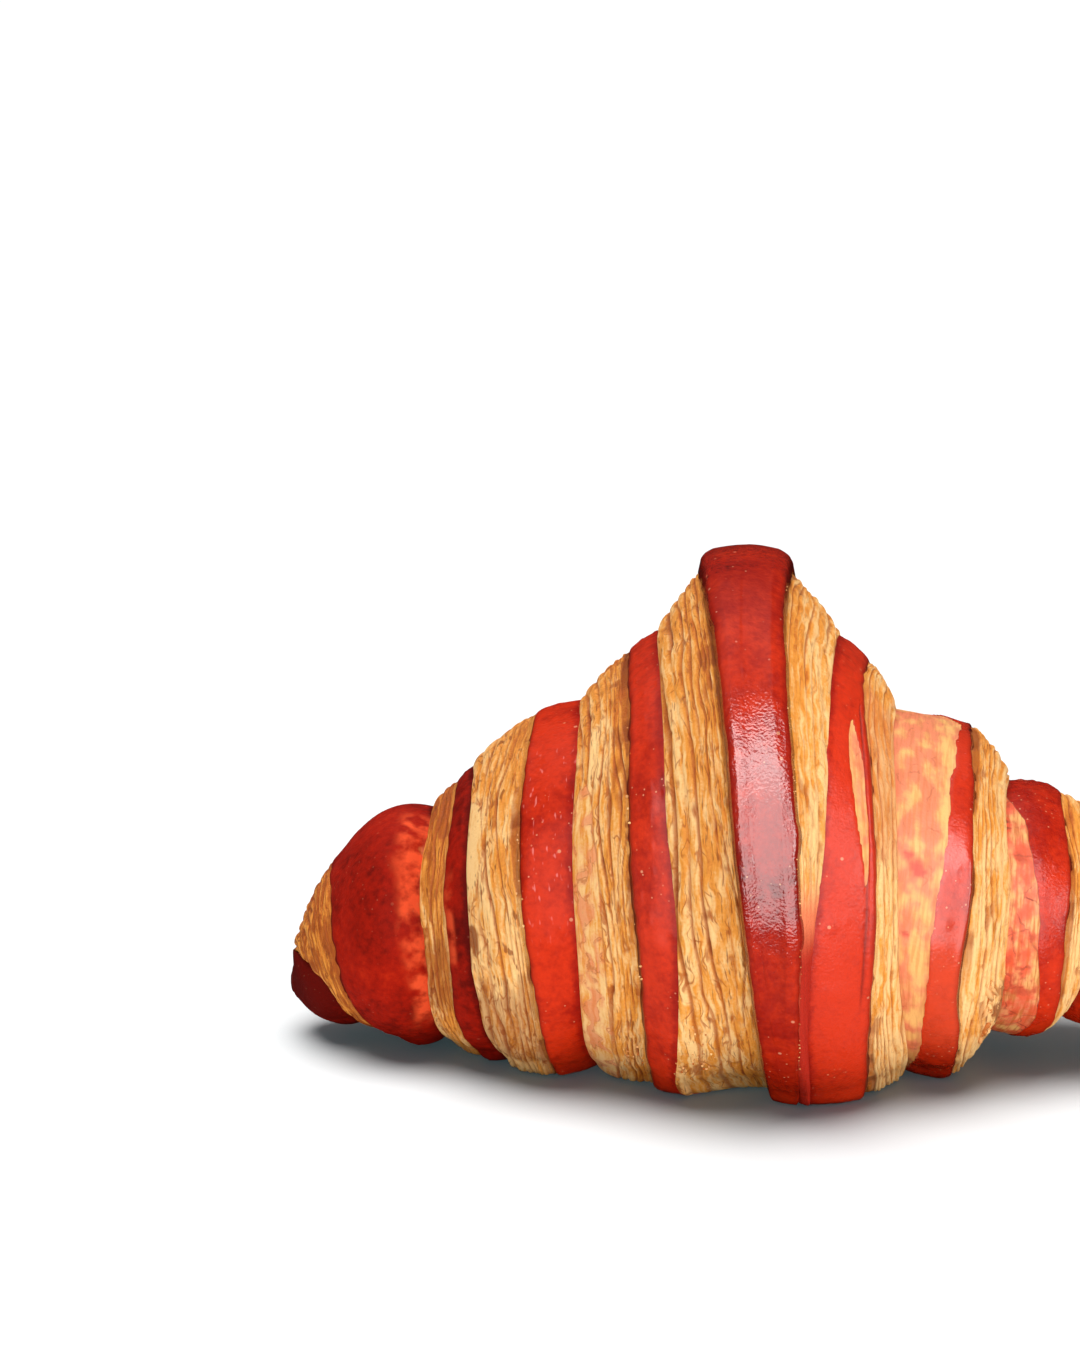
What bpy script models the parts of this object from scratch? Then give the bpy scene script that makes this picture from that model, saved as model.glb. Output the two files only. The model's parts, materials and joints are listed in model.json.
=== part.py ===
"""A striped croissant, one solid, in metres with +Z up.

The roll is a long triangle of layered dough under a red sheet, wound round itself from its wide
end to its point. Seen from outside, the dough winds from each tip to the middle, one wrap on
top of the last. A row across it runs from the foot, where its cut edge meets the wrap below, up
the layered cut edge to the lip, and over the red band to the foot of the wrap above it or, on
the last wrap, to the middle line of the croissant.
"""

import bmesh
import bpy
import numpy as np

# The middle of the roll. The tips are this far from it along X, and set back and lowered.
MIDDLE_RADIUS = 0.0434
MIDDLE_HEIGHT = 0.0367
DEPTH_SHARE = 1.10
HEIGHT_SHARE = 0.975
TIP_REACH = {"left": 0.070, "right": 0.067}
TIP_SETBACK = {"left": 0.0065, "right": 0.0085}

# The axis of the roll sinks towards each tip: its height at each quarter of the way out.
AXIS_HEIGHTS = {
    "left": [MIDDLE_HEIGHT, 0.0312, 0.0242, 0.0195, 0.0096],
    "right": [MIDDLE_HEIGHT, 0.0320, 0.0270, 0.0240, 0.0140],
}

# Wrap 0 is the middle band and wrap 5 the tip. Each wrap has the distance of its lip from the
# middle at the top of the roll, at the front and underneath, and then the same for its foot.
LIP = {
    "left": [(0.0066, -0.0025, -0.0060), (0.0176, 0.0120, 0.0116), (0.0316, 0.0288, 0.0249),
             (0.0434, 0.0416, 0.0372), (0.0638, 0.0585, 0.0525), (0.0700, 0.0694, 0.0690)],
    "right": [(0.0052, 0.0099, 0.0090), (0.0180, 0.0193, 0.0189), (0.0343, 0.0319, 0.0314),
              (0.0478, 0.0473, 0.0438), (0.0605, 0.0575, 0.0540), (0.0670, 0.0664, 0.0660)],
}
FOOT = {
    "left": [(0.0134, 0.0065, 0.0083), (0.0240, 0.0220, 0.0199), (0.0412, 0.0372, 0.0338),
             (0.0478, 0.0451, 0.0442), (0.0692, 0.0634, 0.0538), (0.0700, 0.0698, 0.0696)],
    "right": [(0.0141, 0.0114, 0.0109), (0.0219, 0.0228, 0.0254), (0.0400, 0.0382, 0.0362),
              (0.0535, 0.0515, 0.0465), (0.0662, 0.0620, 0.0550), (0.0670, 0.0668, 0.0666)],
}

# The radius of each wrap at its lip, and where its band goes in under the wrap above, as
# shares of the middle radius. The tip's band winds down to nothing over its last turn.
LIP_RADIUS = {
    "left": [0.992, 0.750, 0.655, 0.460, 0.350, 0.0],
    "right": [0.992, 0.724, 0.605, 0.400, 0.335, 0.0],
}
BAND_RADIUS = {
    "left": [1.0, 0.780, 0.630, 0.505, 0.405, 0.0],
    "right": [1.0, 0.780, 0.590, 0.410, 0.365, 0.0],
}
POINT_RADIUS = 0.93
TIP_COIL = [0.38, 0.37, 0.34, 0.24, 0.0]
TIP_LIP_SHARE = 0.35

# How far a cut edge swells out between foot and lip, how far the lip stands over it, and how
# far each band is crowned.
EDGE_SWELL = [0.15, 0.35, 0.50, 0.35, 0.50, 0.90]
POINT_SWELL = 0.80
LIP_STEP = [0.0024, 0.0012, 0.0010, 0.0008, 0.0006, 0.0]
BAND_CROWN = [0.0004, 0.0003, 0.0003, 0.0005, 0.0030, 0.0022]
MIDDLE_DIP = 0.035

# The last wrap ends in the triangle's point under the roll, and is shifted to the right there.
# It reaches its width underneath a little before that, and tapers over the end.
TIP_TURN = 5.0
POINT_TURN = -0.5
POINT_SHIFT = 0.0080
POINT_TAPER = 0.10
POINT_WIDTH_TURN = -0.42

# Over how much of a turn the lines and radii are rounded off between their values, and one form
# passes into the next: the middle band into the side bands, a foot into the tip, and a band into
# the tip's coil.
UNDER_BLEND = 0.10
RADIUS_BLEND = 0.12
BLEND_STEPS = 9
BLEND_FALL = 0.8
BAND_FADE = 0.3
FOOT_FADE = 0.3
COIL_START = 1.4
COIL_FADE = 0.5

# Layers stand out from the cut edges as low ribs, and the edges wander a little, in a long and a
# short wave: each has a share of the height, and an angle for each turn and for its start.
LAYER_RIBS = 3.5
RIB_HEIGHT = 0.0006
WANDER = 0.0005
WANDER_WAVES = [(0.6, 17.0, 1.0), (0.4, 31.0, 2.0)]
WANDER_FADE = 0.5
LIP_WANDER = 1.0
FOOT_WANDER = 4.0
WIDE_EDGE = 0.006
LIP_START = 0.94

# The underside is flat: what would lie lower than this above the floor rests on it, and beside
# the flat the roll rises to its round form over the rounding.
FLAT_BELOW = 0.0004
FLOOR_ROUNDING = 0.0028

# Towards the tips the wraps lean by this share of the axis's own slope in plan.
RING_LEAN = 0.6

ROWS_PER_TURN = 40
EDGE_FACES = 8
BAND_FACES = 5

CRUST_COLOUR = (0.50, 0.10, 0.03, 1.0)
CRUST_ROUGHNESS = 0.4

SIDES = {"left": -1, "right": 1}


def ease(share):
    share = np.clip(share, 0, 1)
    return share * share * (3 - 2 * share)


def blended(turn, knots, values, reach):
    """The straight stretches between the knots, rounded off over this reach of a turn."""
    offsets = np.linspace(-reach, reach, BLEND_STEPS)
    weights = 1 - BLEND_FALL * np.abs(offsets) / reach
    total = sum(w * np.interp(turn + o, knots, values) for w, o in zip(weights, offsets))
    return total / weights.sum()


def line(table, turn):
    """Distance from the middle of a lip or a foot, from its values at the top and underneath."""
    knots = []
    values = []
    for wrap, (top, front, under) in enumerate(table):
        knots += [POINT_WIDTH_TURN if wrap == 0 else wrap - 0.5, wrap - 0.25, wrap]
        values += [under, front, top]
    return blended(turn, knots, values, UNDER_BLEND)


def middle_line(turn):
    """X of the croissant's middle line, which shifts to the right underneath."""
    return 0.5 * POINT_SHIFT * (1 - np.cos(2 * np.pi * turn))


def to_point(x, turn):
    """The edges of the last wrap run together in its point."""
    share = ease((POINT_TURN + POINT_TAPER - turn) / POINT_TAPER)
    return x * (1 - share) + middle_line(turn) * share


def wander(turn, start):
    waves = sum(share * np.sin(pace * turn + begin * start) for share, pace, begin in WANDER_WAVES)
    return WANDER * waves * ease((TIP_TURN - 1 - turn) / WANDER_FADE)


def lip_x(side, turn):
    return to_point(SIDES[side] * (line(LIP[side], turn) + wander(turn, LIP_WANDER)), turn)


def foot_x(side, turn):
    x = to_point(SIDES[side] * (line(FOOT[side], turn) + wander(turn, FOOT_WANDER)), turn)
    share = ease((turn - (TIP_TURN - 1 - FOOT_FADE)) / FOOT_FADE)
    return x * (1 - share) + SIDES[side] * TIP_REACH[side] * share


def wrap_radius(shares, turn):
    knots = [POINT_TURN, *range(len(shares))]
    return MIDDLE_RADIUS * blended(turn, knots, [POINT_RADIUS, *shares], RADIUS_BLEND)


def band_end(side, turn):
    """X and radius where a band goes in under the wrap above it, or meets the middle line."""
    covered = turn > POINT_TURN + 1
    x = np.where(covered, foot_x(side, np.maximum(turn - 1, POINT_TURN)), middle_line(turn))
    middle = MIDDLE_RADIUS * (1 - MIDDLE_DIP * (1 - np.cos(2 * np.pi * turn)))
    share = ease((turn - POINT_TURN - 1) / BAND_FADE) * covered
    radius = middle * (1 - share) + wrap_radius(BAND_RADIUS[side], turn) * share
    quarter_turns = np.linspace(TIP_TURN - 1, TIP_TURN, len(TIP_COIL))
    coil = MIDDLE_RADIUS * np.interp(turn, quarter_turns, TIP_COIL)
    share = ease((turn - (TIP_TURN - COIL_START)) / COIL_FADE)
    return x, radius * (1 - share) + coil * share


def foot_end(side, turn):
    """X and radius of the foot, which lies on the band of the wrap below."""
    at_tip = turn >= TIP_TURN - 1
    x = np.where(at_tip, SIDES[side] * TIP_REACH[side], foot_x(side, turn))
    radius = band_end(side, np.minimum(turn + 1, TIP_TURN))[1]
    return x, np.where(at_tip, 0.0, radius)


def row_across(side, turn):
    """X and radius of each point of the rows at these turns, from the foot to the band's end."""
    foot, foot_radius = foot_end(side, turn)
    end, end_radius = band_end(side, turn)
    lip = lip_x(side, turn)
    lip_radius = wrap_radius(LIP_RADIUS[side], turn)
    on_tip = turn > TIP_TURN - 1
    nearest = np.minimum(np.abs(end), np.abs(foot))
    farthest = np.maximum(np.abs(end), np.abs(foot))
    lip = np.where(on_tip, SIDES[side] * np.clip(np.abs(lip), nearest, farthest), lip)
    lip_radius = np.where(on_tip, np.minimum(lip_radius, TIP_LIP_SHARE * end_radius), lip_radius)

    wraps = np.arange(len(EDGE_SWELL))
    swell = np.interp(turn, [POINT_TURN, *wraps], [POINT_SWELL, *EDGE_SWELL])
    crown = np.interp(turn, wraps, BAND_CROWN)
    layers_radius = lip_radius - np.interp(turn, wraps, LIP_STEP) * closeness(lip, foot)
    rib_height = RIB_HEIGHT * closeness(lip, foot)

    across = []
    out = []
    for step in range(EDGE_FACES):
        share = step / (EDGE_FACES - 1)
        quarter = 0.5 * np.pi * share
        up = (1 - swell) * share + swell * np.sin(quarter)
        along = (1 - swell) * share + swell * (1 - np.cos(quarter))
        rib = -rib_height * np.sin(np.pi * share) * np.cos(2 * np.pi * LAYER_RIBS * share)
        across.append(foot + LIP_START * (lip - foot) * along)
        out.append(foot_radius + (layers_radius - foot_radius) * up + rib)
    for step in range(BAND_FACES + 1):
        share = step / BAND_FACES
        across.append(lip + (end - lip) * share)
        out.append(lip_radius + (end_radius - lip_radius) * share + crown * np.sin(np.pi * share))
    return np.array(across).T, np.array(out).T


def closeness(lip, foot):
    """Fades what stands out from a cut edge where the edge is narrow."""
    return np.clip(np.abs(foot - lip) / WIDE_EDGE, 0, 1)


def smooth_through(share, values):
    """A curve through evenly spaced values, level at its start."""
    padded = np.array([values[1], *values, 2 * values[-1] - values[-2]])
    place = np.clip(share, 0, 1) * (len(values) - 1)
    first = np.minimum(place.astype(int), len(values) - 2)
    part = place - first
    before, start, end, after = (padded[first + step] for step in range(4))
    rise = 2 * before - 5 * start + 4 * end - after
    curl = 3 * (start - end) + after - before
    return start + 0.5 * part * (end - before + part * (rise + part * curl))


def axis_at(x):
    """Setback, height and lean in plan of the roll's axis."""
    setback = np.zeros_like(x)
    height = np.zeros_like(x)
    lean = np.zeros_like(x)
    for side, sign in SIDES.items():
        here = sign * x >= 0
        share = np.clip(sign * x / TIP_REACH[side], 0, 1)
        slope = 2 * TIP_SETBACK[side] * share / TIP_REACH[side]
        setback = np.where(here, TIP_SETBACK[side] * share ** 2, setback)
        height = np.where(here, smooth_through(share, AXIS_HEIGHTS[side]), height)
        lean = np.where(here, sign * RING_LEAN * np.arctan(slope), lean)
    return setback, height, lean


def rest_on_floor(z):
    return np.maximum(z, 0) * ease((z - FLAT_BELOW) / FLOOR_ROUNDING)


def on_the_roll(x, radius, turn):
    """A whole turn is at the top, the quarter below it in front, and the half underneath."""
    angle = -2 * np.pi * turn
    setback, height, lean = axis_at(x)
    forward = radius * DEPTH_SHARE * np.sin(angle)
    z = rest_on_floor(height + radius * HEIGHT_SHARE * np.cos(angle))
    return np.stack([x + forward * np.sin(lean), setback - forward * np.cos(lean), z], axis=-1)


class RolledStrip:
    """The points of one side's rows, and the rule by which neighbouring wraps share them."""

    def __init__(self, side):
        self.side = side
        self.last_row = round((TIP_TURN - POINT_TURN) * ROWS_PER_TURN)
        turn = TIP_TURN - np.arange(self.last_row + 1) / ROWS_PER_TURN
        across, out = row_across(side, turn)
        self.points = on_the_roll(across, out, turn[:, None])
        self.last_column = across.shape[1] - 1

    def key(self, row, column):
        """The name of a point: rows meet in the tip, on the wrap below and on the middle line."""
        if row == 0:
            return (self.side, "tip")
        if row == self.last_row:
            return ("middle", row % ROWS_PER_TURN)
        if column == 0:
            if row <= ROWS_PER_TURN:
                return (self.side, "tip")
            return self.key(row - ROWS_PER_TURN, self.last_column)
        if column == self.last_column and row >= self.last_row - ROWS_PER_TURN:
            return ("middle", row % ROWS_PER_TURN)
        return (self.side, row, column)

    def faces(self):
        """Keys of the faces' corners, with three where two corners are one point."""
        for row in range(self.last_row):
            for column in range(self.last_column):
                corners = [(row, column), (row, column + 1), (row + 1, column + 1), (row + 1, column)]
                keys = list(dict.fromkeys(self.key(*corner) for corner in corners))
                if len(keys) > 2:
                    yield keys

    def places(self):
        """Where each of this side's points is."""
        for row in range(self.last_row + 1):
            for column in range(self.last_column, 0, -1):
                yield self.key(row, column), self.points[row, column]


def croissant_mesh():
    strips = [RolledStrip(side) for side in SIDES]
    index_of = {}
    points = []
    for strip in strips:
        for key, point in strip.places():
            if key not in index_of:
                index_of[key] = len(points)
                points.append(point)
    points = np.array(points)
    box_middle = 0.5 * (points.min(axis=0) + points.max(axis=0))
    points[:, :2] -= box_middle[:2]
    faces = [[index_of[key] for key in keys] for strip in strips for keys in strip.faces()]

    mesh = bpy.data.meshes.new("croissant")
    mesh.from_pydata(points.tolist(), [], faces)
    work = bmesh.new()
    work.from_mesh(mesh)
    bmesh.ops.triangulate(work, faces=work.faces[:], quad_method="SHORT_EDGE")
    bmesh.ops.recalc_face_normals(work, faces=work.faces[:])
    work.to_mesh(mesh)
    work.free()
    mesh.shade_smooth()
    return mesh


def crust_material():
    material = bpy.data.materials.new("baked crust")
    material.use_nodes = True
    surface = material.node_tree.nodes["Principled BSDF"]
    surface.inputs["Base Color"].default_value = CRUST_COLOUR
    surface.inputs["Roughness"].default_value = CRUST_ROUGHNESS
    surface.inputs["Metallic"].default_value = 0.0
    return material


for left_over in list(bpy.data.objects):
    bpy.data.objects.remove(left_over)

croissant = bpy.data.objects.new("croissant", croissant_mesh())
croissant.data.materials.append(crust_material())
bpy.context.scene.collection.objects.link(croissant)
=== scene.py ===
import itertools
import json

import bpy
import numpy as np
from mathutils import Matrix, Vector

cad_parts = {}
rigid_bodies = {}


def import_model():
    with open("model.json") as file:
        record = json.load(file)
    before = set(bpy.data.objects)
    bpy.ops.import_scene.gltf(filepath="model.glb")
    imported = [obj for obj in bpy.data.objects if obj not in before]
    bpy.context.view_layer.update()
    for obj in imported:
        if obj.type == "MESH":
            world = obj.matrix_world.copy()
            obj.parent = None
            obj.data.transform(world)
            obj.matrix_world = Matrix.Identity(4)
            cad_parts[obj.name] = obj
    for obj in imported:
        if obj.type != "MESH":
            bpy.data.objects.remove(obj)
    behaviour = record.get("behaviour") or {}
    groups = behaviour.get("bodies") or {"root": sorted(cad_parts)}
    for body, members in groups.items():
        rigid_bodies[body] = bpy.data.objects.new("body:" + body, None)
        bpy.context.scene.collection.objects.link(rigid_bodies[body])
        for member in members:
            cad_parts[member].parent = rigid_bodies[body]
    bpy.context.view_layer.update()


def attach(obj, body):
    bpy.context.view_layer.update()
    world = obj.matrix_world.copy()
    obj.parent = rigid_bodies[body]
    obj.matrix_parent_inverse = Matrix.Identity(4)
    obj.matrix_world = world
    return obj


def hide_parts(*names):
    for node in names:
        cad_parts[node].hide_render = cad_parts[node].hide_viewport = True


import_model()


# The layered dough
# A long triangle of buttered dough, folded many times and rolled up from its wide end to its
# point. Its cut edges show as golden ribbed steps that wind from both tips to the middle. All
# sizes are metres, and turns count from the top of the middle band, 0, outwards to the tip, 5.
MIDDLE_RADIUS = 0.0434
MIDDLE_HEIGHT = 0.0367
DEPTH_SHARE = 1.10
HEIGHT_SHARE = 0.975
TIP_REACH = {"left": 0.070, "right": 0.067}
TIP_SETBACK = {"left": 0.0065, "right": 0.0085}
AXIS_HEIGHTS = {
    "left": [MIDDLE_HEIGHT, 0.0312, 0.0242, 0.0195, 0.0096],
    "right": [MIDDLE_HEIGHT, 0.0320, 0.0270, 0.0240, 0.0140],
}

# Distance of each wrap's lip, and then of its foot, from the middle: at the top of the roll, at
# the front and underneath.
LIP = {
    "left": [(0.0066, -0.0025, -0.0060), (0.0176, 0.0120, 0.0116), (0.0316, 0.0288, 0.0249),
             (0.0434, 0.0416, 0.0372), (0.0638, 0.0585, 0.0525), (0.0700, 0.0694, 0.0690)],
    "right": [(0.0052, 0.0099, 0.0090), (0.0180, 0.0193, 0.0189), (0.0343, 0.0319, 0.0314),
              (0.0478, 0.0473, 0.0438), (0.0605, 0.0575, 0.0540), (0.0670, 0.0664, 0.0660)],
}
FOOT = {
    "left": [(0.0134, 0.0065, 0.0083), (0.0240, 0.0220, 0.0199), (0.0412, 0.0372, 0.0338),
             (0.0478, 0.0451, 0.0442), (0.0692, 0.0634, 0.0538), (0.0700, 0.0698, 0.0696)],
    "right": [(0.0141, 0.0114, 0.0109), (0.0219, 0.0228, 0.0254), (0.0400, 0.0382, 0.0362),
              (0.0535, 0.0515, 0.0465), (0.0662, 0.0620, 0.0550), (0.0670, 0.0668, 0.0666)],
}

# Radius of each wrap at its lip, and where its band goes in under the wrap above, as shares of
# the middle radius.
LIP_RADIUS = {
    "left": [0.992, 0.750, 0.655, 0.460, 0.350, 0.0],
    "right": [0.992, 0.724, 0.605, 0.400, 0.335, 0.0],
}
BAND_RADIUS = {
    "left": [1.0, 0.780, 0.630, 0.505, 0.405, 0.0],
    "right": [1.0, 0.780, 0.590, 0.410, 0.365, 0.0],
}
POINT_RADIUS = 0.93
TIP_COIL = [0.38, 0.37, 0.34, 0.24, 0.0]
TIP_LIP_SHARE = 0.35
TIP_LIP_FALL = 0.30
EDGE_SWELL = [0.15, 0.35, 0.50, 0.35, 0.50, 0.90]
POINT_SWELL = 0.80
LIP_STEP = [0.0022, 0.0007, 0.0006, 0.0005, 0.0004, 0.0]
BAND_CROWN = [0.0004, 0.0003, 0.0003, 0.0005, 0.0030, 0.0022]
MIDDLE_DIP = 0.035
TIP_TURN = 5.0
POINT_TURN = -0.5
POINT_SHIFT = 0.0080
POINT_TAPER = 0.10
POINT_WIDTH_TURN = -0.42
UNDER_BLEND = 0.10
RADIUS_BLEND = 0.12
BLEND_STEPS = 9
BLEND_FALL = 0.8
BAND_FADE = 0.3
FOOT_START = TIP_TURN - 1.3
FOOT_FADE = 0.3
COIL_START = TIP_TURN - 1.4
COIL_FADE = 0.5
WANDER = 0.0005
WANDER_FADE = 0.5
RUN_STEPS = 551
LEAST_RUN_RADIUS = 0.002
WIDE_EDGE = 0.006
LIP_START = 0.94
FLAT_BELOW = 0.0004
FLOOR_ROUNDING = 0.0028
RING_LEAN = 0.6
DEEPEST_SHARE = 0.6
RANDOM_CELLS = 97
SIDES = {"left": -1, "right": 1}
WRAPS = np.arange(6)


def ease(share):
    share = np.clip(share, 0, 1)
    return share * share * (3 - 2 * share)


def stretch(value, start, stop, soft_start, soft_stop):
    """1 between the start and the stop, with a smooth rise after one and fall before the other."""
    return ease((value - start) / soft_start) * ease((stop - value) / soft_stop)


def beside(*parts):
    return np.concatenate(parts, axis=1)


def blended(turn, knots, values, reach):
    """The straight stretches between the knots, rounded off over this reach of a turn."""
    offsets = np.linspace(-reach, reach, BLEND_STEPS)
    weights = 1 - BLEND_FALL * np.abs(offsets) / reach
    total = sum(w * np.interp(turn + o, knots, values) for w, o in zip(weights, offsets))
    return total / weights.sum()


def line(table, turn):
    """Distance of a lip or a foot from the middle, between its values at top, front and under."""
    knots = []
    values = []
    for wrap, (top, front, under) in enumerate(table):
        knots += [POINT_WIDTH_TURN if wrap == 0 else wrap - 0.5, wrap - 0.25, wrap]
        values += [under, front, top]
    return blended(turn, knots, values, UNDER_BLEND)


def middle_line(turn):
    """X of the croissant's middle line, which shifts to the right underneath."""
    return 0.5 * POINT_SHIFT * (1 - np.cos(2 * np.pi * turn))


def to_point(x, turn):
    """The edges of the last wrap run together in its point."""
    share = ease((POINT_TURN + POINT_TAPER - turn) / POINT_TAPER)
    return x * (1 - share) + middle_line(turn) * share


def wander(turn, start):
    """A small waviness of the edges, which fades out before the tip."""
    waves = 0.6 * np.sin(17.0 * turn + start) + 0.4 * np.sin(31.0 * turn + 2.0 * start)
    return WANDER * waves * ease((TIP_TURN - 1 - turn) / WANDER_FADE)


def lip_x(side, turn):
    return to_point(SIDES[side] * (line(LIP[side], turn) + wander(turn, 1.0)), turn)


def foot_x(side, turn):
    x = to_point(SIDES[side] * (line(FOOT[side], turn) + wander(turn, 4.0)), turn)
    share = ease((turn - FOOT_START) / FOOT_FADE)
    return x * (1 - share) + SIDES[side] * TIP_REACH[side] * share


def wrap_radius(shares, turn):
    knots = [POINT_TURN, *range(len(shares))]
    return MIDDLE_RADIUS * blended(turn, knots, [POINT_RADIUS, *shares], RADIUS_BLEND)


def band_end(side, turn):
    """X and radius where a band goes in under the wrap above it, or meets the middle line."""
    covered = turn > POINT_TURN + 1
    x = np.where(covered, foot_x(side, np.maximum(turn - 1, POINT_TURN)), middle_line(turn))
    middle = MIDDLE_RADIUS * (1 - MIDDLE_DIP * (1 - np.cos(2 * np.pi * turn)))
    share = ease((turn - POINT_TURN - 1) / BAND_FADE) * covered
    radius = middle * (1 - share) + wrap_radius(BAND_RADIUS[side], turn) * share
    quarter_turns = np.linspace(TIP_TURN - 1, TIP_TURN, len(TIP_COIL))
    coil = MIDDLE_RADIUS * np.interp(turn, quarter_turns, TIP_COIL)
    share = ease((turn - COIL_START) / COIL_FADE)
    return x, radius * (1 - share) + coil * share


def foot_end(side, turn):
    """X and radius of the foot, which lies on the band of the wrap below."""
    at_tip = turn >= TIP_TURN - 1
    x = np.where(at_tip, SIDES[side] * TIP_REACH[side], foot_x(side, turn))
    radius = band_end(side, np.minimum(turn + 1, TIP_TURN))[1]
    return x, np.where(at_tip, 0.0, radius)


def lip_end(side, turn):
    """X and radius of the lip, kept between the foot and the band's end at the tip."""
    foot = foot_end(side, turn)[0]
    end, end_radius = band_end(side, turn)
    lip = lip_x(side, turn)
    radius = wrap_radius(LIP_RADIUS[side], turn)
    on_tip = turn > TIP_TURN - 1
    nearest = np.minimum(np.abs(end), np.abs(foot))
    farthest = np.maximum(np.abs(end), np.abs(foot))
    lip = np.where(on_tip, SIDES[side] * np.clip(np.abs(lip), nearest, farthest), lip)
    lowered = ease((turn - (TIP_TURN - 1)) / TIP_LIP_FALL)
    return lip, radius + lowered * (np.minimum(radius, TIP_LIP_SHARE * end_radius) - radius)


def edge_curve(swell, share):
    """How far over and up a cut edge has come at this share from foot to lip, where it swells."""
    quarter = 0.5 * np.pi * share
    over = (1 - swell) * share + swell * (1 - np.cos(quarter))
    return over, (1 - swell) * share + swell * np.sin(quarter)


def closeness(lip, foot):
    """Fades what stands out from a cut edge where the edge is narrow."""
    return np.clip(np.abs(foot - lip) / WIDE_EDGE, 0, 1)


def smooth_through(share, values):
    """A curve through evenly spaced values, level at its start."""
    padded = np.array([values[1], *values, 2 * values[-1] - values[-2]])
    place = np.clip(share, 0, 0.999999) * (len(values) - 1)
    first = place.astype(int)
    part = place - first
    before, start, end, after = (padded[first + step] for step in range(4))
    rise = 2 * before - 5 * start + 4 * end - after
    curl = 3 * (start - end) + after - before
    return start + 0.5 * part * (end - before + part * (rise + part * curl))


def axis_at(x):
    """Setback, height and lean in plan of the roll's axis."""
    setback = np.zeros_like(x)
    height = np.zeros_like(x)
    lean = np.zeros_like(x)
    for side, sign in SIDES.items():
        here = sign * x >= 0
        share = np.clip(sign * x / TIP_REACH[side], 0, 1)
        slope = 2 * TIP_SETBACK[side] * share / TIP_REACH[side]
        setback = np.where(here, TIP_SETBACK[side] * share ** 2, setback)
        height = np.where(here, smooth_through(share, AXIS_HEIGHTS[side]), height)
        lean = np.where(here, sign * RING_LEAN * np.arctan(slope), lean)
    return setback, height, lean


def rest_on_floor(z):
    return np.maximum(z, 0) * ease((z - FLAT_BELOW) / FLOOR_ROUNDING)


def on_the_roll(x, radius, turn, depth=0.0):
    """The point at this radius, on the flattened roll, and then this deep under its surface."""
    angle = -2 * np.pi * turn
    setback, height, lean = axis_at(x)
    forward = radius * DEPTH_SHARE * np.sin(angle)
    z = rest_on_floor(height + radius * HEIGHT_SHARE * np.cos(angle))
    point = np.stack([x + forward * np.sin(lean), setback - forward * np.cos(lean), z], axis=-1)
    inward = np.stack([x, setback, height], axis=-1) - point
    reach = np.linalg.norm(inward, axis=-1, keepdims=True)
    depth = np.minimum(np.broadcast_to(depth, x.shape)[..., None], DEEPEST_SHARE * reach)
    return point + inward / np.maximum(reach, 1e-6) * depth


def uneven(seed, along, across):
    """Smooth random bumps between -1 and 1, one for each unit along and across."""
    table = np.random.default_rng(seed).uniform(-1, 1, (RANDOM_CELLS, RANDOM_CELLS))
    row = np.floor(along).astype(int)
    column = np.floor(across).astype(int)
    down = ease(along - row)
    over = ease(across - column)

    def at_row(step):
        line_of_cells = (row + step) % RANDOM_CELLS
        before = table[line_of_cells, column % RANDOM_CELLS]
        after = table[line_of_cells, (column + 1) % RANDOM_CELLS]
        return before * (1 - over) + after * over

    return at_row(0) * (1 - down) + at_row(1) * down


def run_along(side, turn):
    """Length of the strip from the tip to this turn; all of the tip's coil counts as narrow."""
    turns = np.linspace(TIP_TURN, POINT_TURN, RUN_STEPS)
    radius = lip_end(side, turns)[1]
    narrow = np.minimum(radius, TIP_LIP_SHARE * band_end(side, turns)[1])
    radius = np.where(turns > TIP_TURN - 1, narrow, radius)
    steps = 2 * np.pi * (LEAST_RUN_RADIUS + radius) * (turns[0] - turns[1])
    return np.interp(-turn, -turns, np.cumsum(steps))


def patch(turn, share, turns, shares, soft=(0.03, 0.10)):
    """1 within these turns and shares, and 0 outside them, with a soft border."""
    inside = stretch(share, *shares, soft[1], soft[1])
    return stretch(turn, *turns, soft[0], soft[0]) * inside


LAYER_COUNT = 7.4
LAYER_SPREAD = 1.5
LAYER_THICKNESS = (0.0002, 0.0032)
LAYER_WAVES = 0.0013
LAYER_RIPPLES = 0.00040
FULL_WIDTH = 0.0095
CREASE_SHARE = 0.15
LEDGE_HEIGHT = 0.00018
PIT_DEPTH = 0.00020
GAP_DEPTH = 0.00030
GRAIN_HEIGHT = 0.00003


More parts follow.
